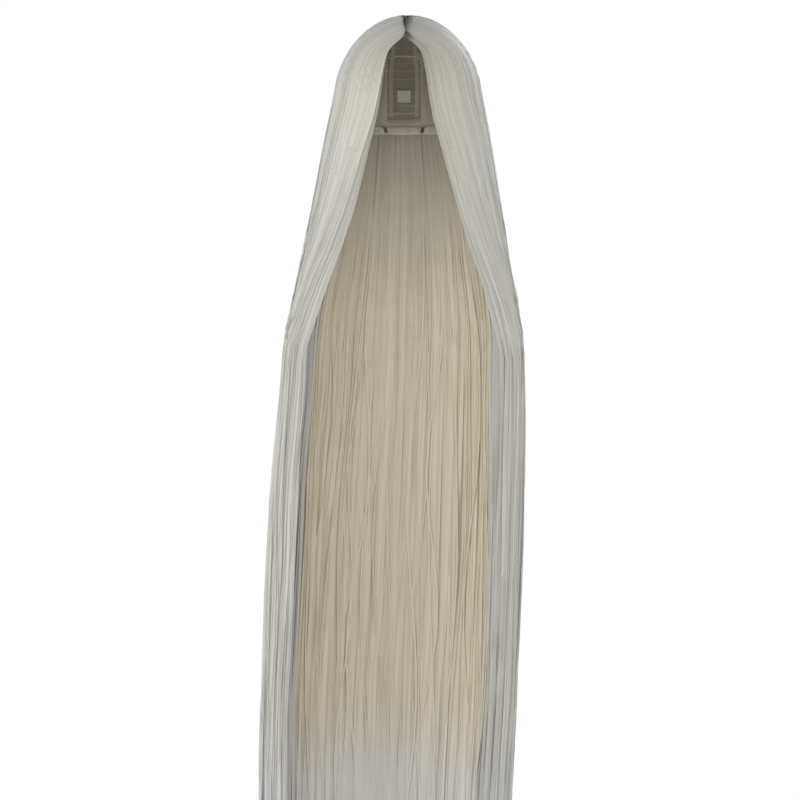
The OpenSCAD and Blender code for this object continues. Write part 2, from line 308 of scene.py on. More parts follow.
THREAD = srgb(236, 233, 222)
NET = cloth_material("net_thread", srgb(222, 215, 196), srgb(186, 177, 154), THREAD, 0.3,
                     ribs=True, depth=0.00006)
TAPE = cloth_material("woven_tape", srgb(232, 227, 212), srgb(196, 189, 170), THREAD, 0.55,
                      ribs=True)
LINING = cloth_material("brushed_lining", srgb(216, 207, 188), srgb(184, 173, 152), THREAD, 0.5,
                        fuzz=0.75, depth=0.0002)
PARTING = cloth_material("parting_mesh", srgb(222, 208, 190), srgb(190, 174, 154),
                         srgb(150, 142, 130), 0.35)
ELASTIC = cloth_material("ribbed_elastic", srgb(240, 236, 224), srgb(206, 200, 184), THREAD, 0.45)
LABEL = cloth_material("blank_label", srgb(228, 223, 210), srgb(202, 196, 182),
                       srgb(170, 168, 160), 0.25)
WEFT = weft_material()


# ---- the shape of the hair, after the CAD ----
# Pairs of (run, size): how far the hair stands out from the head at the side, front and back, how
# thick it is there, and how far it leans aside. FACE_EDGE and RIM hold (run, degrees) and
# (degrees round the head, degrees down it). Over the dome the sides are rounder than the CAD's.

HEAD_W, HEAD_L, CROWN_H, NAPE_H = 0.152, 0.190, 0.100, 0.120
DOME_TOP, DOME_THICK = 0.009, 0.0047
SIDE_OUT = ((0, .021), (45, .023), (90, .031), (165, .046), (253, .061), (342, .077),
            (401, .090), (461, .101), (550, .105), (690, .111), (1020, .115), (1300, .108),
            (1490, .092))
FRONT_OUT = ((90, .013), (128, -.003), (176, -.031), (224, -.047), (304, -.057),
             (403, -.067), (474, -.073))
BACK_OUT = ((90, .027), (165, .035), (253, .047), (342, .060), (401, .071), (461, .081),
            (490, .083), (1150, .083), (1490, .066))
SIDE_THICK = ((0, .011), (45, .013), (90, .019), (165, .022), (290, .024), (474, .028),
              (560, .030), (1350, .028), (1490, .012))
FRONT_THICK = ((90, .009), (474, .008))
BACK_THICK = ((90, .020), (474, .022), (1350, .020), (1490, .010))
LEAN_OUT = ((0, .006), (165, .005), (253, .004), (342, .002), (450, 0), (550, -.003),
            (690, -.010), (870, -.017), (1040, -.024), (1160, -.028), (1490, -.034))
LEAN_IN = ((0, 0), (165, .002)) + LEAN_OUT[2:]
FACE_EDGE = ((42, .6), (50, 13), (58, 21), (90, 24), (128, 27), (176, 33), (224, 38),
             (304, 48), (358, 58), (403, 64), (446, 71), (474, 78), (1490, 75))
SIDE_BACK, NAPE = 118, 180
PART_END, DOME_END, LAST_RUN = 42, 90, 1490
RIM = ((0, 39), (22, 52), (38, 66), (52, 86), (58, 95), (88, 95), (92, 93), (112, 94),
       (124, 104), (140, 114), (180, 115))


def smooth_line(table, soften=14):
    """A function through a table of (run, size), with its corners rounded."""
    run, size = np.array(table, float).T
    grid = np.arange(-60.0, 1600.0)
    reach = 3 * soften
    kernel = np.exp(-0.5 * (np.arange(-reach, reach + 1) / soften) ** 2)
    line = np.convolve(np.pad(np.interp(grid, run, size), reach, "edge"),
                       kernel / kernel.sum(), "valid")
    return lambda at: np.interp(at, grid, line)


side_out, front_out, back_out = map(smooth_line, (SIDE_OUT, FRONT_OUT, BACK_OUT))
side_thick, front_thick, back_thick = map(smooth_line, (SIDE_THICK, FRONT_THICK, BACK_THICK))
lean_out, lean_in = smooth_line(LEAN_OUT), smooth_line(LEAN_IN)
face_edge = smooth_line(FACE_EDGE, 3)


def hair_point(side, run, th, deep, lift=0.0):
    """Points in the hair. deep is 0 on its outer face and 1 on its inner one, and lift moves
    a point outwards."""
    wide = HEAD_W / 2 + side_out(run) - deep * side_thick(run) + lift
    fore = HEAD_L / 2 + front_out(run) - deep * front_thick(run) + lift
    aft = HEAD_L / 2 + back_out(run) - deep * back_thick(run) + lift
    down, turn = np.radians(np.minimum(run, DOME_END)), np.radians(th)
    lean = lean_out(run) + deep * (lean_in(run) - lean_out(run))
    x = lean + side * wide * np.sin(down) * np.sin(turn)
    y = -np.where(np.cos(turn) > 0, fore, aft) * np.sin(down) * np.cos(turn)
    z = np.where(run > DOME_END, (DOME_END - run) * MM,
                 (CROWN_H + DOME_TOP - deep * DOME_THICK + lift) * np.cos(down)) - CROWN_H
    return np.stack(np.broadcast_arrays(x, y, z), -1)


def unit(vectors):
    return vectors / np.maximum(np.linalg.norm(vectors, axis=-1, keepdims=True), 1e-12)


# ---- the cap's surfaces, repeated from the CAD ----
# A panel is a function of u along it, v across it, both from 0 to 1, and off, the distance in
# metres outside the net's inner face. It returns points.

STRIP_HALF, SEAM_AT = 20, 20.4
SIDE_TOP, SIDE_EDGE = (50, 203), (25, 152)
TAB_TH, TAB_HALF, TAB_TOP, TAB_DROP = 73, 13, 95.8, 17
NAPE_R, NAPE_Y, NAPE_Z, NAPE_SLOPE = 0.060, 0.020, -0.160, 0.39
STRAP_W = 0.010


def around(th, ph):
    """A direction th round the head and ph down it, in degrees."""
    turn, down = np.radians(th), np.radians(ph)
    return np.stack(np.broadcast_arrays(
        np.sin(down) * np.sin(turn), -np.sin(down) * np.cos(turn), np.cos(down)), -1)


def over(la, mu):
    """A direction at lateral angle la, on an arc at angle mu from the brow over the crown."""
    tilt, turn = np.radians(la), np.radians(mu)
    return np.stack(np.broadcast_arrays(
        np.sin(tilt), -np.cos(tilt) * np.cos(turn), np.cos(tilt) * np.sin(turn)), -1)


def on_head(way, off):
    """The point off the head's surface in each direction."""
    height = np.where(way[..., 2] > 0, CROWN_H + off, NAPE_H)
    return np.stack([(HEAD_W / 2 + off) * way[..., 0], (HEAD_L / 2 + off) * way[..., 1],
                     height * way[..., 2] - CROWN_H], -1)


def cap_point(th, ph, off):
    return on_head(around(th, ph), off)


def rim_at(th):
    """How far down the head the cap's edge is."""
    return np.interp(np.minimum(np.abs(th), 360 - np.abs(th)), *np.array(RIM, float).T)


def below_rim(drop):
    """A level line for band_panel, at a fixed drop below the cap's edge."""
    return lambda th: rim_at(th) + drop


def level(ph):
    """A level line for band_panel, at a fixed place down the head."""
    return lambda th: ph + 0 * th


def between(top, bottom):
    """A panel that spans two lines of directions."""
    return lambda u, v, off: on_head(unit(top(u) + (bottom(u) - top(u)) * v[..., None]), off)


def strip_panel(front, back, half, hairline=0):
    """Over the middle of the head, v running from the brow to the back."""
    def place(u, v, off):
        la = half * (2 * u - 1)
        start = front - hairline * (la / STRIP_HALF) ** 2
        return on_head(over(la, start + (back - start) * v), off)
    return place


def band_panel(start, end, top, bottom, side=1):
    """Round the head between two angles. top and bottom give its edges at each angle."""
    def edge(line):
        def at(u):
            th = start + (end - start) * u
            return around(side * th, line(th))
        return at
    return between(edge(top), edge(bottom))


def arc_panel(side, la, front, back, wide):
    """A narrow strip that runs from the brow over the crown, beside the middle."""
    def place(u, v, off):
        return on_head(over(side * (la + wide * v), front + (back - front) * u), off)
    return place


def side_panel(side):
    """From the seam beside the middle down to the cap's edge."""
    def top(u):
        return over(side * SEAM_AT, SIDE_TOP[0] + (SIDE_TOP[1] - SIDE_TOP[0]) * u)

    def bottom(u):
        th = SIDE_EDGE[0] + (SIDE_EDGE[1] - SIDE_EDGE[0]) * u
        return around(side * th, rim_at(th))
    return between(top, bottom)


def tab_panel(side, half, top, drop):
    """An ear tab, level at its top and rounded below."""
    def bottom(th):
        return top + drop * (1 - 0.7 * np.abs((th - TAB_TH) / half) ** 3)
    return band_panel(TAB_TH - half, TAB_TH + half, level(top), bottom, side)


def nape_panel(side, start, end, tall):
    """A bar round the nape, between two angles from the middle of the back."""
    def place(u, v, off):
        turn, up = np.radians(start + (end - start) * u), tall * (v - 0.5)
        reach = NAPE_R + off + NAPE_SLOPE * up
        return np.stack([side * reach * np.sin(turn), NAPE_Y + reach * np.cos(turn),
                         NAPE_Z + up + 0 * reach], -1)
    return place


def sleeve_panel(side, start, end, tall, deep, middle):
    """A flat tube round the nape, v running round it and off growing out of its own middle."""
    def place(u, v, off):
        turn, w = np.radians(start + (end - start) * u), 2 * np.pi * v
        up = (tall / 2 + off) * np.sign(np.cos(w)) * np.abs(np.cos(w)) ** 0.5
        out = (deep / 2 + off) * np.sign(np.sin(w)) * np.abs(np.sin(w)) ** 0.4
        reach = NAPE_R + middle + out + NAPE_SLOPE * up
        return np.stack([side * reach * np.sin(turn), NAPE_Y + reach * np.cos(turn),
                         NAPE_Z + up], -1)
    return place


# ---- meshes ----

RIDGE_PITCH = 0.0008
FLAT_SIDES = 4


def add_mesh(name, points, corners, counts, material, values=()):
    """A smooth mesh from polygons' corners, one after another, and each polygon's count."""
    mesh = bpy.data.meshes.new(name)
    mesh.vertices.add(len(points))
    mesh.vertices.foreach_set("co", points.astype(np.float32).ravel())
    mesh.loops.add(len(corners))
    mesh.loops.foreach_set("vertex_index", corners.astype(np.int32))
    mesh.polygons.add(len(counts))
    mesh.polygons.foreach_set("loop_start", np.concatenate([[0], np.cumsum(counts)[:-1]])
                              .astype(np.int32))
    mesh.polygons.foreach_set("use_smooth", np.ones(len(counts), bool))
    mesh.update(calc_edges=True)
    for key, numbers in dict(values).items():
        mesh.attributes.new(key, "FLOAT", "POINT").data.foreach_set(
            "value", numbers.astype(np.float32).ravel())
    mesh.materials.append(material)
    piece = bpy.data.objects.new(name, mesh)
    scene.collection.objects.link(piece)
    return piece


def tube_faces(count, rings, sides):
    """Corners and counts of closed tubes whose points are ordered by tube, ring and side."""
    index = np.arange(count * rings * sides).reshape(count, rings, sides)
    beside = np.roll(index, -1, axis=2)
    quads = np.stack([index[:, :-1], beside[:, :-1], beside[:, 1:], index[:, 1:]], -1)
    ends = np.concatenate([index[:, 0, ::-1], index[:, -1]])
    corners = np.concatenate([quads.reshape(-1), ends.reshape(-1)])
    return corners, np.concatenate([np.full(quads.size // 4, 4), np.full(len(ends), sides)])


def tube_points(path, outward, wide, thick, sides, ridges=0.0):
    """Rings of points round centre lines, and how far across its line each point is."""
    along = unit(np.gradient(path, axis=1))
    across = unit(np.cross(outward, along))
    outward = np.cross(along, across)
    angle = 2 * np.pi * np.arange(sides) / sides
    wide, thick = (np.broadcast_to(v, path.shape[:2])[..., None] for v in (wide, thick))
    offset = wide * np.cos(angle)
    height = thick * np.sin(angle) * (1 + ridges * np.cos(2 * np.pi * offset / RIDGE_PITCH))
    points = (path[:, :, None] + across[:, :, None] * offset[..., None]
              + outward[:, :, None] * height[..., None])
    return points, offset


def crease(mesh):
    """Sharp edges down both sides of flat locks, so that their faces are shaded as flat."""
    ends = np.empty(len(mesh.edges) * 2, np.int32)
    mesh.edges.foreach_get("vertices", ends)
    a, b = ends.reshape(-1, 2).T
    sharp = (a % FLAT_SIDES == b % FLAT_SIDES) & (a % (FLAT_SIDES // 2) == 0)
    mesh.attributes.new("sharp_edge", "BOOLEAN", "EDGE").data.foreach_set("value", sharp)


def tubes(name, path, outward, wide, thick, sides, material, values):
    """One mesh of closed tapered tubes. path is (tube, ring, xyz); wide and thick are half
    sizes, across the tube and out of it, and values hold a number for each ring."""
    points, offset = tube_points(path, outward, wide, thick, sides)
    spread = {key: np.broadcast_to(v[..., None], points.shape[:3])
              for key, v in values.items()}
    spread["across"] = spread["across"] + offset / MM
    piece = add_mesh(name, points.reshape(-1, 3), *tube_faces(*points.shape[:3]),
                     material, spread)
    if sides == FLAT_SIDES:
        crease(piece.data)
    return piece


def closed_grid(long, wide):
    """Quads round a slab whose points are an inner grid and then an outer one."""
    at = np.arange(long * wide).reshape(long, wide)
    face = np.stack([at[:-1, :-1], at[1:, :-1], at[1:, 1:], at[:-1, 1:]], -1).reshape(-1, 4)
    loop = np.concatenate([at[:-1, 0], at[-1, :-1], at[:0:-1, -1], at[0, :0:-1]])
    after, size = np.roll(loop, -1), at.size
    return np.concatenate([face + size, face[:, ::-1],
                           np.stack([after + size, loop + size, loop, after], -1)])


def faces_out(inner, outer, quads):
    """The quads, turned over if they face inwards."""
    i, j = inner.shape[0] // 2, inner.shape[1] // 2
    lean = np.cross(outer[i + 1, j] - outer[i, j], outer[i, j + 1] - outer[i, j])
    return quads if np.dot(lean, outer[i, j] - inner[i, j]) > 0 else quads[:, ::-1]


def waves(count, across, along):
    """A smooth random field of (metres across, millimetres of run), about -1 to 1."""
    k = 2 * np.pi / draw.uniform(*across, count) * draw.choice([-1, 1], count)
    j = 2 * np.pi / draw.uniform(*along, count)
    phase = draw.uniform(0, 2 * np.pi, count)
    return lambda a, b: sum(np.sin(k[i] * a + j[i] * b + phase[i])
                            for i in range(count)) / math.sqrt(count / 2)


# ---- cloth ----

STRIP_SHAPE = 4
ROLLED_EDGE = 0.4
NET_CELL, NET_THREAD, NET_RINGS = 0.003, 0.00031, 26
NET_MIDDLE, THREADS_APART = 0.0005, 0.00013
BINDING_HALF, BINDING_THICK = 0.0009, 0.00042
STITCH_THICK, STITCH_HUMP = 0.00022, np.array([-0.00018, 0.00010, -0.00018])


def run_length(points, axis):
    """Distance along a grid of points from its first row, in millimetres."""
    step = np.linalg.norm(np.diff(points, axis=axis), axis=-1)
    return np.insert(np.cumsum(step, axis=axis), 0, 0, axis=axis) / MM


def panel_cut(place):
    """A panel's width and length when flat, and its area, in metres. A long strip may slant,
    so its width is measured square to its edges."""
    u, v = np.meshgrid(np.linspace(0, 1, 61), np.linspace(0, 1, 61), indexing="ij")
    p = place(u, v, 0.0)
    area = float(np.linalg.norm(np.cross(p[1:, :-1] - p[:-1, :-1], p[:-1, 1:] - p[:-1, :-1]),
                                axis=-1).sum())
    wide, long = run_length(p, 1)[:, -1] * MM, run_length(p, 0)[-1] * MM
    if long.mean() > STRIP_SHAPE * wide.mean():
        size = area / long.mean(), long.mean()
    else:
        size = wide.max(), area / wide.mean()
    return tuple(round(float(side), 4) for side in size), area


class Cloth:
    """Gathers closed strips and threads into one mesh that knows its place along and across
    the cloth, in millimetres."""

    def __init__(self, place):
        self.place, self.parts, self.count = place, [], 0

    def add(self, points, corners, counts, across, along, stitch=0.0):
        points = points.reshape(-1, 3)
        self.parts.append((points, corners + self.count, counts,
                           *(np.broadcast_to(v, points.shape[:-1]) if np.ndim(v) == 0
                             else np.ravel(v) for v in (across, along, stitch))))
        self.count += len(points)

    def slab(self, low, high, long, wide, place=None, arch=0.0, swell=None):
        """A closed strip between two distances, with rolled edges. arch lifts its middle, and
        swell thickens it at each u and v."""
        place = place or self.place
        u, v = np.meshgrid(np.linspace(0, 1, long), np.linspace(0, 1, wide), indexing="ij")
        half = np.full(u.shape, (high - low) / 2)
        if swell:
            half += swell(u, v)
        half[[0, -1]] *= ROLLED_EDGE
        half[:, [0, -1]] *= ROLLED_EDGE
        middle = (high + low) / 2 + arch * np.sin(np.pi * u) ** 0.6
        inner, outer = place(u, v, middle - half), place(u, v, middle + half)
        quads = faces_out(inner, outer, closed_grid(long, wide))
        across, along = run_length(outer, 1), run_length(outer, 0)
        self.add(np.concatenate([inner.reshape(-1, 3), outer.reshape(-1, 3)]),
                 quads.ravel(), np.full(len(quads), 4),
                 np.tile(across.ravel(), 2), np.tile(along.ravel(), 2))

    def threads(self, path, outward, wide, thick, sides=4, stitch=0.0, ridges=0.0):
        """Closed tubes along paths. wide and thick are half sizes."""
        points, offset = tube_points(path, outward, wide, thick, sides, ridges)
        along = run_length(path, 1)[..., None] + 0 * offset
        self.add(points, *tube_faces(*points.shape[:3]), (offset / MM).ravel(), along.ravel(),
                 stitch)

    def follow(self, u, v, off):
        """Points of a line on the panel, and the direction out of it."""
        path = self.place(u, v, off)
        return path, unit(self.place(u, v, off + MM) - path)

    def line(self, u, v, off, wide, thick, sides=6, **more):
        """One tube along a line on the panel."""
        path, outward = self.follow(u, v, off)
        self.threads(path[None], outward[None], wide, thick, sides, **more)

    def net(self):
        """Two families of slanting threads that cross in diamonds."""
        (wide, long), _ = panel_cut(self.place)
        cols, rows = long / NET_CELL, wide / NET_CELL
        for lean in (1, -1):
            k = np.arange(0.5, rows + cols)
            first, last = np.maximum(0, k - cols), np.minimum(rows, k)
            q = first[:, None] + (last - first)[:, None] * np.linspace(0, 1, NET_RINGS)
            u, v = (k[:, None] - q) / cols, q / rows
            path, outward = self.follow(u, v if lean > 0 else 1 - v,
                                        NET_MIDDLE + lean * THREADS_APART)
            self.threads(path, outward, NET_THREAD, NET_THREAD)

    def bind(self):
        """A bound edge all round the panel."""
        t = np.linspace(0, 1, 60)
        low, high = 0 * t, 1 + 0 * t
        for u, v in ((t, low), (t, high), (low, t), (high, t)):
            self.line(u, v, NET_MIDDLE, BINDING_HALF, BINDING_THICK)

    def stitches(self, u, v, off, place=None, pitch=0.0027, long=0.0019):
        """A row of stitches along a line on the panel."""
        fine = np.linspace(0, 1, 200)
        u, v = (np.interp(fine, np.linspace(0, 1, len(w)), w) for w in (u, v))
        keep, self.place = self.place, place or self.place
        arc = run_length(self.place(u, v, off)[None], 1)[0] * MM
        start = np.arange(pitch / 2, arc[-1] - long, pitch)[:, None]
        at = start + long * np.array([0, 0.5, 1])
        path, outward = self.follow(np.interp(at, arc, u), np.interp(at, arc, v),
                                    off + 0 * at)
        path = path + outward * STITCH_HUMP[:, None]
        self.threads(path, outward, STITCH_THICK, STITCH_THICK, stitch=1.0)
        self.place = keep

    def stitch_round(self, off, inset_u, inset_v):
        """Rows of stitches along all four sides of the panel."""
        a, b, c, d = inset_u, 1 - inset_u, inset_v, 1 - inset_v
        for u, v in (((a, b), (c, c)), ((a, b), (d, d)), ((a, a), (c, d)), ((b, b), (c, d))):
            self.stitches(np.linspace(*u, 20), np.linspace(*v, 20), off)

    def make(self, node, material, body):
        """The piece that takes a CAD node's place."""
        joined = [np.concatenate([part[i] for part in self.parts]) for i in range(6)]
        piece = add_mesh(f"{node}_sewn", *joined[:3], material,
                         dict(zip(("across", "along", "stitch"), joined[3:])))
        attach(piece, body)
        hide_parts(node)
        return piece

    def sheet(self, piece, rests_on):
        flat, area = panel_cut(self.place)
        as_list(rests_on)


# ---- hair ----

# The rings of a lock, as shares of its length: close together near the root and at the bend.
GRID = np.concatenate([(0, 1.2, 2.6, 4.5, 7, 11, 16, 22, 29, 37, 46, 56, 67, 78),
                       np.arange(DOME_END, 440, 50), np.arange(440, 580, 28),
                       np.linspace(580, LAST_RUN, 15)]) / LAST_RUN
relief, ripple = waves(9, (0.014, 0.05), (500, 1600)), waves(8, (0.006, 0.013), (300, 900))
RELIEF, RIPPLE = 0.0012, 0.0003
FALL_FROM, FALL_OVER = 60, 700
CLUMP, CLUMP_PULL = 0.011, 0.3
SWAY_ROOT, SWAY = 0.0004, 0.0022
# Painted shade: how fast the darkened root fades, in degrees down the dome, and how dark it is;
# how dark the inner back hair is painted near the cap, the run where that ends and how far it
# fades.
ROOT_FADE, ROOT_DARK = 1.2, 0.6
SHADE, SHADE_ENDS, SHADE_OVER = 0.7, 430, 300
PART_GAP, BAND_STARTS = 0.0010, 33
# How far the roots are off the cap: in the inner layers, and in the outer ones of each block.
SCALP, OVER_SCALP, OVER_CROWN = 0.003, 0.0064, 0.0078
BODY_UNDER = 0.0006
BELOW_DOME = 0.45
SWEEP_CROWN, SWEEP_MORE, SWEEP_FULL, EDGE_COLUMN = 0.4, 8.1, 14, 0.12
ARC_RADIUS, REFERENCE_RUN = 0.15, 700
TIP_END, TIP_SPREAD, BODY_END, BODY_SPREAD = 1478, 26, 1452, 22
BODY_COLUMNS = 140
RUN_SCALE = 4 * MM
rag = np.random.default_rng(3)


def curtain_angle(run, column, start):
    """Angle round the head of a curtain's column, from 0 at the face to 1 at the back fall.
    Each column leaves the parting sideways."""
    edge = face_edge(run)
    sweep = SWEEP_CROWN + SWEEP_MORE * np.minimum(part_start(column) / SWEEP_FULL, 1)
    leave = np.exp(-np.maximum(run - start, 0) / sweep) * np.minimum(column / EDGE_COLUMN, 1)
    return (edge + (SIDE_BACK - edge) * column) * (1 - leave)


def back_angle(run, column, _start):
    """The same for the back fall, from the curtain's edge to the nape."""
    return SIDE_BACK + (NAPE - SIDE_BACK) * column + 0 * run


def part_start(column):
    """Where a curtain's column leaves the parting, in degrees down the dome."""
    return PART_END * (1 - column) ** 1.3 + 0.8


def rooted(side, run, th, deep, lift, start, root=SCALP, rise=1.6, gap=0.0):
    """Points in the hair that start on the cap and rise to their own depth. root is how far off
    the cap they start, rise how soon they leave it, and gap how far beside the parting."""
    hair = hair_point(side, run, th, deep, lift)
    depth = np.minimum(run, DOME_END) + np.maximum(run - DOME_END, 0) * BELOW_DOME
    scalp = cap_point(side * th, depth, root)
    near = np.exp(-(run - start) / rise)[..., None]
    path = hair + (scalp - hair) * near
    path[..., 0] += side * (gap * near[..., 0])
    return path


def hanging(side, th, run):
    """How freely the hair hangs, from 0 to 1, and how far it stands out of its smooth shape."""
    arc = np.radians(th) * ARC_RADIUS * side
    fall = np.clip((run - FALL_FROM) / FALL_OVER, 0, 1)
    return fall, fall * (RELIEF * relief(arc, run) + RIPPLE * ripple(arc, run))


def strands(side, angle, column, deep, start, end, root=SCALP, rise=1.6, stray=0.0, gap=0.0,
            wander=1.0):
    """Centre lines of strands down the hair, with the outward direction along each. stray and
    wander say how far they leave their layer and their column."""
    n = len(column)
    column, deep, start, end, gap = (np.broadcast_to(np.asarray(v, float), n)[:, None]
                                     for v in (column, deep, start, end, gap))
    run = start + (end - start) * GRID
    th = angle(run, column, start)
    settled = np.radians(angle(REFERENCE_RUN, column, start)) * ARC_RADIUS * side
    pull = np.round(settled / CLUMP) * CLUMP - settled
    fall, lift = hanging(side, th, run)
    lift = lift + stray * draw.normal(0, 1, (n, 1)) * np.clip((run - start) / 300, 0, 1)
    path = rooted(side, run, th, deep, lift, start, root, rise, gap)
    turned = hair_point(side, run, th + 1, deep) - hair_point(side, run, th - 1, deep)
    along = unit(np.gradient(path, axis=1))
    outward = unit(np.cross(along, turned)) * side
    across = np.cross(outward, along)
    length = draw.uniform(260, 800, (n, 1)) * wander ** 0.3
    sway = np.sin(2 * np.pi * (run / length + draw.uniform(0, 1, (n, 1))))
    sway = sway * draw.uniform(0.3, 1, (n, 1)) * (SWAY_ROOT + SWAY * fall * wander)
    path = path + across * (sway + side * CLUMP_PULL * pull * fall)[..., None]
    return path, outward, run


def root_shade(run, start, deep=0.0):
    """Painted shade: how dark the fibre is at its root, more so along the parting, and, by the
    share deep, near the cap in hair deep inside, where little light comes.
    """
    near_part = np.clip((start - 2) / 10, 0.1, 1)
    return np.maximum(ROOT_DARK * near_part * np.exp(-(run - start) / ROOT_FADE),
                      deep * np.clip((SHADE_ENDS - run) / SHADE_OVER, 0, 1))


def lay(name, groups, sides, material, tint, deep=0.0):
    """One mesh of locks or strands, which narrow at the root and taper at the tip. Each group is
    (strands(...), half width, half thickness), and deep is the share of painted shade near the
    cap."""
    paths, outs, runs, wides, thicks = [], [], [], [], []
    for (path, outward, run), wide, thick in groups:
        n = len(path)
        share = (run - run[:, :1]) / (run[:, -1:] - run[:, :1])
        tip = np.clip((1 - share) / draw.uniform(0.04, 0.12, (n, 1)), 0.06, 1) ** 0.7
        body = np.clip(0.35 + share / 0.03, 0, 1) * tip
        size = draw.uniform(0.6, 1.35, (n, 1))
        paths.append(path), outs.append(outward), runs.append(run)
        wides.append(wide * size * body)
        thicks.append(thick * draw.uniform(0.8, 1.2, (n, 1)) * body)
    path, outward, run, wide, thick = map(np.concatenate, (paths, outs, runs, wides, thicks))
    n = len(path)
    # root is painted shade at the roots and, by the share deep, near the cap.
    values = {"run": run * RUN_SCALE, "across": draw.uniform(0, 900, (n, 1)) + 0 * run,
              "tone": draw.uniform(0, 1, (n, 1)) + 0 * run, "tint": tint(path, run),
              "root": root_shade(run, run[:, :1], deep)}
    return tubes(name, path, outward, wide, thick, sides, material, values)


def fill_body(name, side, angle, low, start, faces, over, material, tint, deep=0.0):
    """A closed body of smooth hair between the outer locks and the inner ones, which shows in
    the gaps between them. faces holds how deep its outer and its inner face are, and over how
    far off the cap its outer face starts."""
    column = np.linspace(low, 1, BODY_COLUMNS)[:, None]
    first = start(column)
    end = BODY_END - np.abs(rag.normal(0, BODY_SPREAD, column.shape))
    run = first + (end - first) * GRID
    th = angle(run, column, first)
    _, lift = hanging(side, th, run)
    middle = sum(faces) / 2
    closing = np.clip((1 - GRID) / 0.06, 0.15, 1)
    outer, inner = (rooted(side, run, th, middle + (d - middle) * closing, lift, first, root,
                           gap=part_gap(first)) for d, root in zip(faces, (over, SCALP)))
    quads = faces_out(inner, outer, closed_grid(*run.shape))
    across = np.radians(angle(REFERENCE_RUN, column, first)) * ARC_RADIUS / MM + 0 * run
    # root is painted shade at the roots and, by the share deep, near the cap.
    values = {"run": run * RUN_SCALE, "across": across, "tone": 0.5 + 0 * run,
              "tint": tint(outer, run), "root": root_shade(run, first, deep)}
    return add_mesh(name, np.concatenate([inner.reshape(-1, 3), outer.reshape(-1, 3)]),
                    quads.ravel(), np.full(len(quads), 4), material,
                    {key: np.tile(v.ravel(), 2) for key, v in values.items()})


def tip_ends(n):
    """Uneven ends, as runs down the hair."""
    return TIP_END - np.abs(draw.normal(0, TIP_SPREAD, n))


def columns(n, low=0.0, high=1.0):
    """Columns in even steps with a little scatter, in a mixed order."""
    place = (np.arange(n) + draw.uniform(0, 1, n)) / n
    return low + (high - low) * draw.permutation(place)


# Where the tips grow cool and over how far, and the cool cast's shares: everywhere, at the tips,
# and as painted light over the dome's top and on the flanks.
TINT_FROM, TINT_OVER = 1035, 115
COOL_ALL, COOL_TIPS, COOL_ASIDE = 0.08, 0.3, 0.45


def cool(path, run):
    """How grey and lavender the fibre looks: a little everywhere and more towards the tips, and,
    as painted light for the cooler light that falls there, over the dome's top and on the flanks."""
    tips = np.clip((run - TINT_FROM) / TINT_OVER, 0, 1)
    crown = np.clip((70 - run) / 60, 0, 1)
    turn = np.degrees(np.arctan2(np.abs(path[..., 0]), -path[..., 1]))
    aside = np.clip((turn - 40) / 45, 0, 1) * np.clip((420 - run) / 200, 0.75, 1)
    return COOL_ALL + COOL_TIPS * tips * tips + COOL_ASIDE * np.maximum(crown, aside)


def warm(_path, run):
    """The same for the back hair seen from inside, which stays warm until near its tips."""
    return 0.95 * np.clip((run - TINT_FROM) / TINT_OVER, 0, 1) ** 1.5


def part_gap(start):
    """Half the bare parting beside a strand's root. It closes at the crown and over the
    front band."""
    return PART_GAP * np.clip((BAND_STARTS - start) / 4, 0, 1) * np.clip(start / 6, 0, 1)


def curtain_group(side, n, low, high, deep, wide, thick, **more):
    """n locks of a curtain, between two columns and two depths, with their half sizes."""
    column = columns(n, low, high)
    layer = draw.uniform(*deep, n)
    start = part_start(column) + draw.uniform(0, 5, n) * column + draw.uniform(0, 2, n)
    return strands(side, curtain_angle, column, layer, start, tip_ends(n),
                   gap=part_gap(start), **more), wide, thick


def back_group(side, n, deep, wide, thick, start=(0.3, 14), **more):
    """n locks of the back, between two depths, whose roots are between two places down it."""
    column = columns(n)
    return strands(side, back_angle, column, draw.uniform(*deep, n),
                   draw.uniform(*start, n), tip_ends(n), **more), wide, thick


for label, side in SIDES:
    locks = lay(f"curtain_{label}_locks", [
        curtain_group(side, 230, 0, 1, (0, 0.08), 0.0030, 0.0006, root=OVER_SCALP),
        curtain_group(side, 120, 0, 1, (0.91, 1), 0.0034, 0.0006),
        curtain_group(side, 50, 0, 0.03, (0, 1), 0.0024, 0.0009),
    ], FLAT_SIDES, HAIR, cool)
    fine = lay(f"curtain_{label}_strands", [
        curtain_group(side, 200, 0, 1, (-0.03, 0.05), 0.0006, 0.0003, root=OVER_SCALP,
                      stray=0.0009),
        curtain_group(side, 60, 0, 0.02, (0, 1), 0.0005, 0.0004, stray=0.0009),
        curtain_group(side, 18, 0.05, 0.8, (-0.02, 0), 0.0010, 0.0003, wander=2.5),
    ], FLAT_SIDES, HAIR, cool)
    body = fill_body(f"curtain_{label}_body", side, curtain_angle, 0.012,
                     lambda column: part_start(column) + 1.5 * (1 - column), (0.05, 0.94),
                     OVER_SCALP - BODY_UNDER, HAIR, cool)
    for piece in (locks, fine, body):
        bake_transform(piece)
    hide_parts(f"hair_front_{label}", f"hair_side_{label}", f"curtain_{label}")

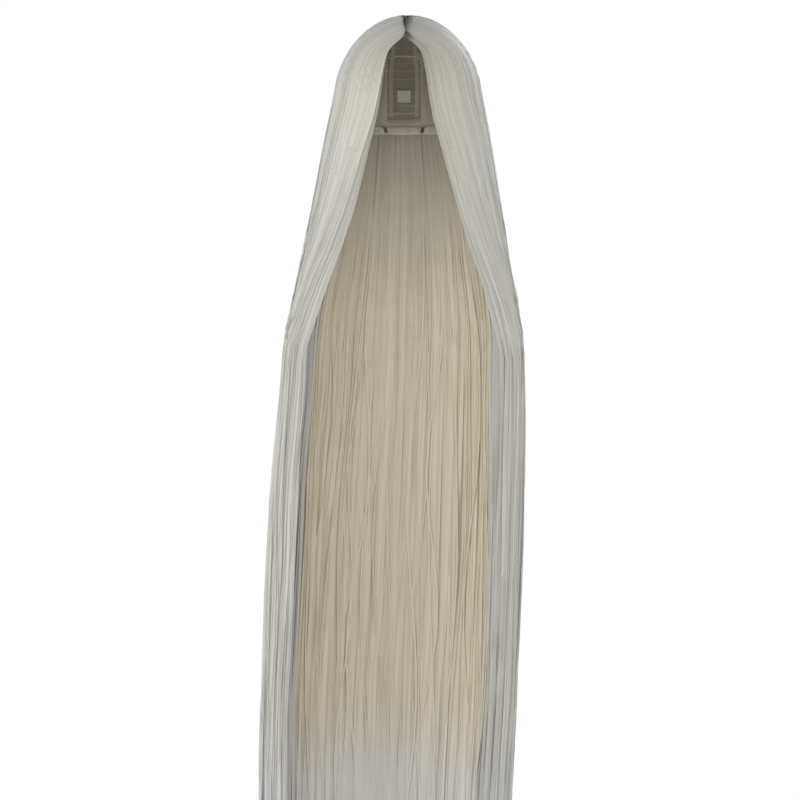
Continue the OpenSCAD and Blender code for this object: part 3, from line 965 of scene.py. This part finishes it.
for label, side in SIDES:
    outer = lay(f"back_{label}_locks", [
        back_group(side, 190, (0, 0.09), 0.0030, 0.0006, root=OVER_CROWN),
    ], FLAT_SIDES, HAIR, cool)
    # The inner back pieces take painted shade near the cap, by the share SHADE.
    inner = lay(f"back_{label}_inner_locks", [
        back_group(side, 80, (0.90, 1), 0.0030, 0.0007, start=(92, 113), rise=45),
        back_group(side, 190, (0.92, 1), 0.0030, 0.0005, start=(50, 85), rise=12),
    ], FLAT_SIDES, HAIR_BACK, warm, SHADE)
    fine = lay(f"back_{label}_strands", [
        back_group(side, 200, (-0.03, 0.05), 0.00055, 0.0004, root=OVER_CROWN, stray=0.0009),
    ], 3, HAIR, cool)
    inside = lay(f"back_{label}_inner_strands", [
        back_group(side, 120, (0.98, 1.03), 0.00055, 0.0003, start=(60, 88), rise=12,
                   stray=0.0007),
        back_group(side, 16, (1.04, 1.10), 0.0013, 0.0003, start=(60, 88), rise=12,
                   wander=7),
    ], FLAT_SIDES, HAIR_BACK, warm, SHADE)
    body = fill_body(f"back_{label}_body", side, back_angle, 0,
                     lambda column: 0.6 + 0 * column, (0.06, 0.95), OVER_CROWN - BODY_UNDER,
                     HAIR_BACK, warm, SHADE)
    for piece in (outer, inner, fine, inside, body):
        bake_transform(piece)
    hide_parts(f"hair_back_{label}", f"back_fall_{label}")
    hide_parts("hair_nape")


# ---- the cap ----

FRONT_HALF, LINING_HALF, TAPE_TOP = 54, 46, 50
BAND_LOW, TAPE_HIGH, BAND_HIGH = 0.0012, 0.0019, 0.0022
BAND_STITCHES = (0.0023, 0.0011)
KNOTS, KNOT_HALF = 520, np.array([0.0003, 0.00034, 0.0001])
STRIP_LOW, STRIP_HIGH = 0.0012, 0.0020
WEFT_MIDDLE, WEFT_HALF_THICK, WEFT_W, WEFT_STEP = 0.00295, 0.00068, 1.7, 7
TRACK_STEP = 0.0011
LINING_LOW, LINING_HIGH = -0.0024, -0.0014
SIDE_ROW_START = ((52, 22), (66, 38), (86, 52), (95, 58))
knots = np.random.default_rng(7)


def net_piece(name, place, body, rests_on):
    """A net panel with a bound edge."""
    cloth = Cloth(place)
    cloth.net()
    cloth.bind()
    cloth.sheet(cloth.make(name, NET, body), rests_on)


def weft_track(cloth, place, off=WEFT_MIDDLE, thick=WEFT_HALF_THICK):
    """A sewn track along a panel's middle, as wide as the panel."""
    (wide, long), _ = panel_cut(place)
    cloth.place = place
    rings = int(long / TRACK_STEP)
    u = np.linspace(0, 1, rings)
    stitch = 1 + 0.12 * np.cos(np.pi * np.arange(rings))
    cloth.line(u, 0.5 + 0 * u, off, wide / 2, thick * stitch, 12, ridges=0.14)


def weft_row(start, end, ph, side=1):
    """A level row between two angles round the head."""
    return band_panel(start, end, level(ph), level(ph + WEFT_W), side)


def weft_piece(name, rows, **size):
    """Rows of track as one piece."""
    cloth = Cloth(None)
    for row in rows:
        weft_track(cloth, row, **size)
    cloth.make(name, WEFT, "cap")


net_piece("crown_net", strip_panel(51, 149.6, STRIP_HALF, 12), "cap", ["front_band"])
net_piece("back_net", strip_panel(150.4, 205, STRIP_HALF), "cap", ["crown_net"])
for label, side in SIDES:
    net_piece(f"side_net_{label}", side_panel(side), "cap", ["crown_net"])

cloth = Cloth(strip_panel(57.2, 100, 6.5))
cloth.slab(STRIP_LOW, STRIP_HIGH, 60, 20)
cloth.stitch_round(0.0021, 0.06, 0.02)
root_v = knots.uniform(0.02, 0.98, KNOTS)
root_u = 0.5 + knots.normal(0, 0.13, KNOTS).clip(-0.4, 0.4)
root_out = STRIP_HIGH + np.array([0.0, 0.0003, 0.0006])
path, outward = cloth.follow(root_u[:, None] + 0 * root_out, root_v[:, None] + 0 * root_out,
                             root_out + 0 * root_u[:, None])
cloth.threads(path, unit(np.cross(outward, (0.3, 1.0, 0.2))), KNOT_HALF, KNOT_HALF, 5, stitch=1.0)
cloth.sheet(cloth.make("parting_strip", PARTING, "cap"), ["crown_net"])

cloth = Cloth(band_panel(-FRONT_HALF, FRONT_HALF, below_rim(-5), below_rim(0)))
cloth.slab(BAND_LOW, BAND_HIGH, 120, 10)
for off in BAND_STITCHES:
    cloth.stitch_round(off, 0.01, 0.16)
cloth.make("front_band", TAPE, "cap")

cloth = Cloth(band_panel(-LINING_HALF, LINING_HALF, below_rim(-12), below_rim(-1)))
cloth.slab(LINING_LOW, LINING_HIGH, 100, 16,
           swell=lambda u, v: 0.0002 * np.sin(np.pi * v) * np.cos(60 * np.pi * u) ** 2)
cloth.stitch_round(-0.0024, 0.02, 0.1)
cloth.sheet(cloth.make("forehead_lining", LINING, "cap"), ["front_band"])

cloth = Cloth(band_panel(124, 236, below_rim(-3), below_rim(9)))
cloth.slab(BAND_LOW, BAND_HIGH, 130, 16)
for v in (0.07, 0.93):
    for off in BAND_STITCHES:
        cloth.stitches(np.linspace(0.01, 0.99, 90), np.full(90, v), off)
cloth.sheet(cloth.make("nape_band", TAPE, "cap"), ["back_net"])

cloth = Cloth(None)
for th in (125, 145, 165, 195, 215, 235):
    def tape(u, v, off, th=th):
        down = TAPE_TOP + (rim_at(th) - 5 - TAPE_TOP) * u
        return cap_point(th + 5 * (v - 0.5), down, off)
    cloth.place = tape
    cloth.slab(BAND_LOW, TAPE_HIGH, 50, 8)
    for v in (0.14, 0.86):
        cloth.stitches(np.linspace(0.01, 0.99, 60), np.full(60, v), 0.0011)
cloth.make("ribbon_tapes", TAPE, "cap")

cloth = Cloth(band_panel(172, 188, level(90), level(99)))
cloth.slab(-0.0021, LINING_HIGH, 24, 16)
cloth.stitch_round(-0.0021, 0.06, 0.09)
cloth.sheet(cloth.make("care_label", LABEL, "cap"), ["back_net"])

weft_piece("wefts_hairline", [band_panel(-52, 52, below_rim(-4), below_rim(-1.5))],
           off=0.0030, thick=0.0005)
weft_piece("wefts_back", [weft_row(98, 262, ph) for ph in range(52, 88, WEFT_STEP)])
weft_piece("wefts_nape", [weft_row(34 + ph, 326 - ph, ph) for ph in (94, 100, 106)])
row_start = np.array(SIDE_ROW_START, float).T
for label, side in SIDES:
    weft_piece(f"wefts_crown_{label}", [arc_panel(side, la, 54 - la / 6, 128, WEFT_W)
                                        for la in (9.5, 16.5, 23.5, 30.5)])
    weft_piece(f"wefts_side_{label}", [weft_row(np.interp(ph, *row_start) + 7, 96, ph, side)
                                       for ph in range(59, 88, WEFT_STEP)])

# ---- ear tabs and nape adjusters ----

moulded, plated = moulded_material(), plated_material()
for label, side in SIDES:
    tab = f"ear_tab_{label}"
    net_piece(tab, tab_panel(side, TAB_HALF, TAB_TOP, TAB_DROP), tab, [f"side_net_{label}"])
    cloth = Cloth(tab_panel(side, TAB_HALF - 2, TAB_TOP + 2.5, TAB_DROP - 4))
    cloth.slab(0.0024, 0.0032, 40, 24)
    cloth.stitch_round(0.0033, 0.08, 0.1)
    cloth.stitch_round(0.0023, 0.08, 0.1)
    cloth.sheet(cloth.make(f"ear_tab_cover_{label}", LINING, tab), [tab])
    cloth = Cloth(sleeve_panel(side, 40, 78, STRAP_W + 0.002, 0.0022, -0.0029))
    cloth.slab(-0.0003, 0.0003, 70, 40)
    for v in (0.22, 0.28, 0.72, 0.78):
        cloth.stitches(np.linspace(0.02, 0.98, 60), np.full(60, v), 0.0003)
    cloth.make(f"strap_sleeve_{label}", TAPE, "cap")
    cloth = Cloth(nape_panel(side, 34, 72, STRAP_W))
    cloth.slab(-0.0034, -0.0024, 90, 37,
               swell=lambda u, v: 0.00012 * np.cos(18 * np.pi * v) - 0.00012)
    for u in (0.03, 0.07):
        cloth.stitches(np.full(12, u), np.linspace(0.08, 0.92, 12), -0.0023)
    for low, high in ((-0.0040, -0.0035), (-0.0023, -0.0018)):
        cloth.slab(low, high, 16, 12, nape_panel(side, 32.4, 37, 0.0064))
    cloth.make(f"adjuster_strap_{label}", ELASTIC, f"adjuster_{label}")
    for node, material in ((f"ear_tab_stay_{label}", moulded),
                           (f"adjuster_hook_{label}", plated)):
        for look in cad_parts[node].material_slots:
            look.material = material

cloth = Cloth(nape_panel(1, -36, 36, STRAP_W))
cloth.slab(-0.0009, -0.0005, 90, 10)
for k in range(-3, 4):
    loop = nape_panel(1, k * 9 - 2.6, k * 9 + 2.6, STRAP_W - 0.003)
    cloth.slab(-0.00115, -0.00085, 18, 8, loop, arch=-0.0003)
    for v in (0.2, 0.5, 0.8):
        for u in (0.06, 0.94):
            cloth.stitches(np.linspace(u - 0.05, u + 0.05, 4), np.full(4, v), -0.0011, loop,
                           pitch=0.0003, long=0.0004)
cloth.make("pocket_tape", TAPE, "cap")


# ---- floor ----

def floor_disc():
    """A plain pale disc under the hair."""
    angle = np.linspace(0, 2 * np.pi, FLOOR_SIDES + 1)[:-1]
    ring = np.stack([np.cos(angle), np.sin(angle)], -1) * FLOOR_RADIUS
    points = np.column_stack([ring, np.full(len(ring), FLOOR_Z)])
    paint = Shader("floor_paint", 0.7)
    paint.feed("Base Color", paint.ramp(paint.noise(paint.place(), 3.0),
                                        (0, srgb(236, 236, 236)), (1, srgb(246, 246, 246))))
    return add_mesh("floor", points, np.arange(FLOOR_SIDES), np.array([FLOOR_SIDES]),
                    paint.material)


floor_disc()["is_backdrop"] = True

low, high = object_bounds()
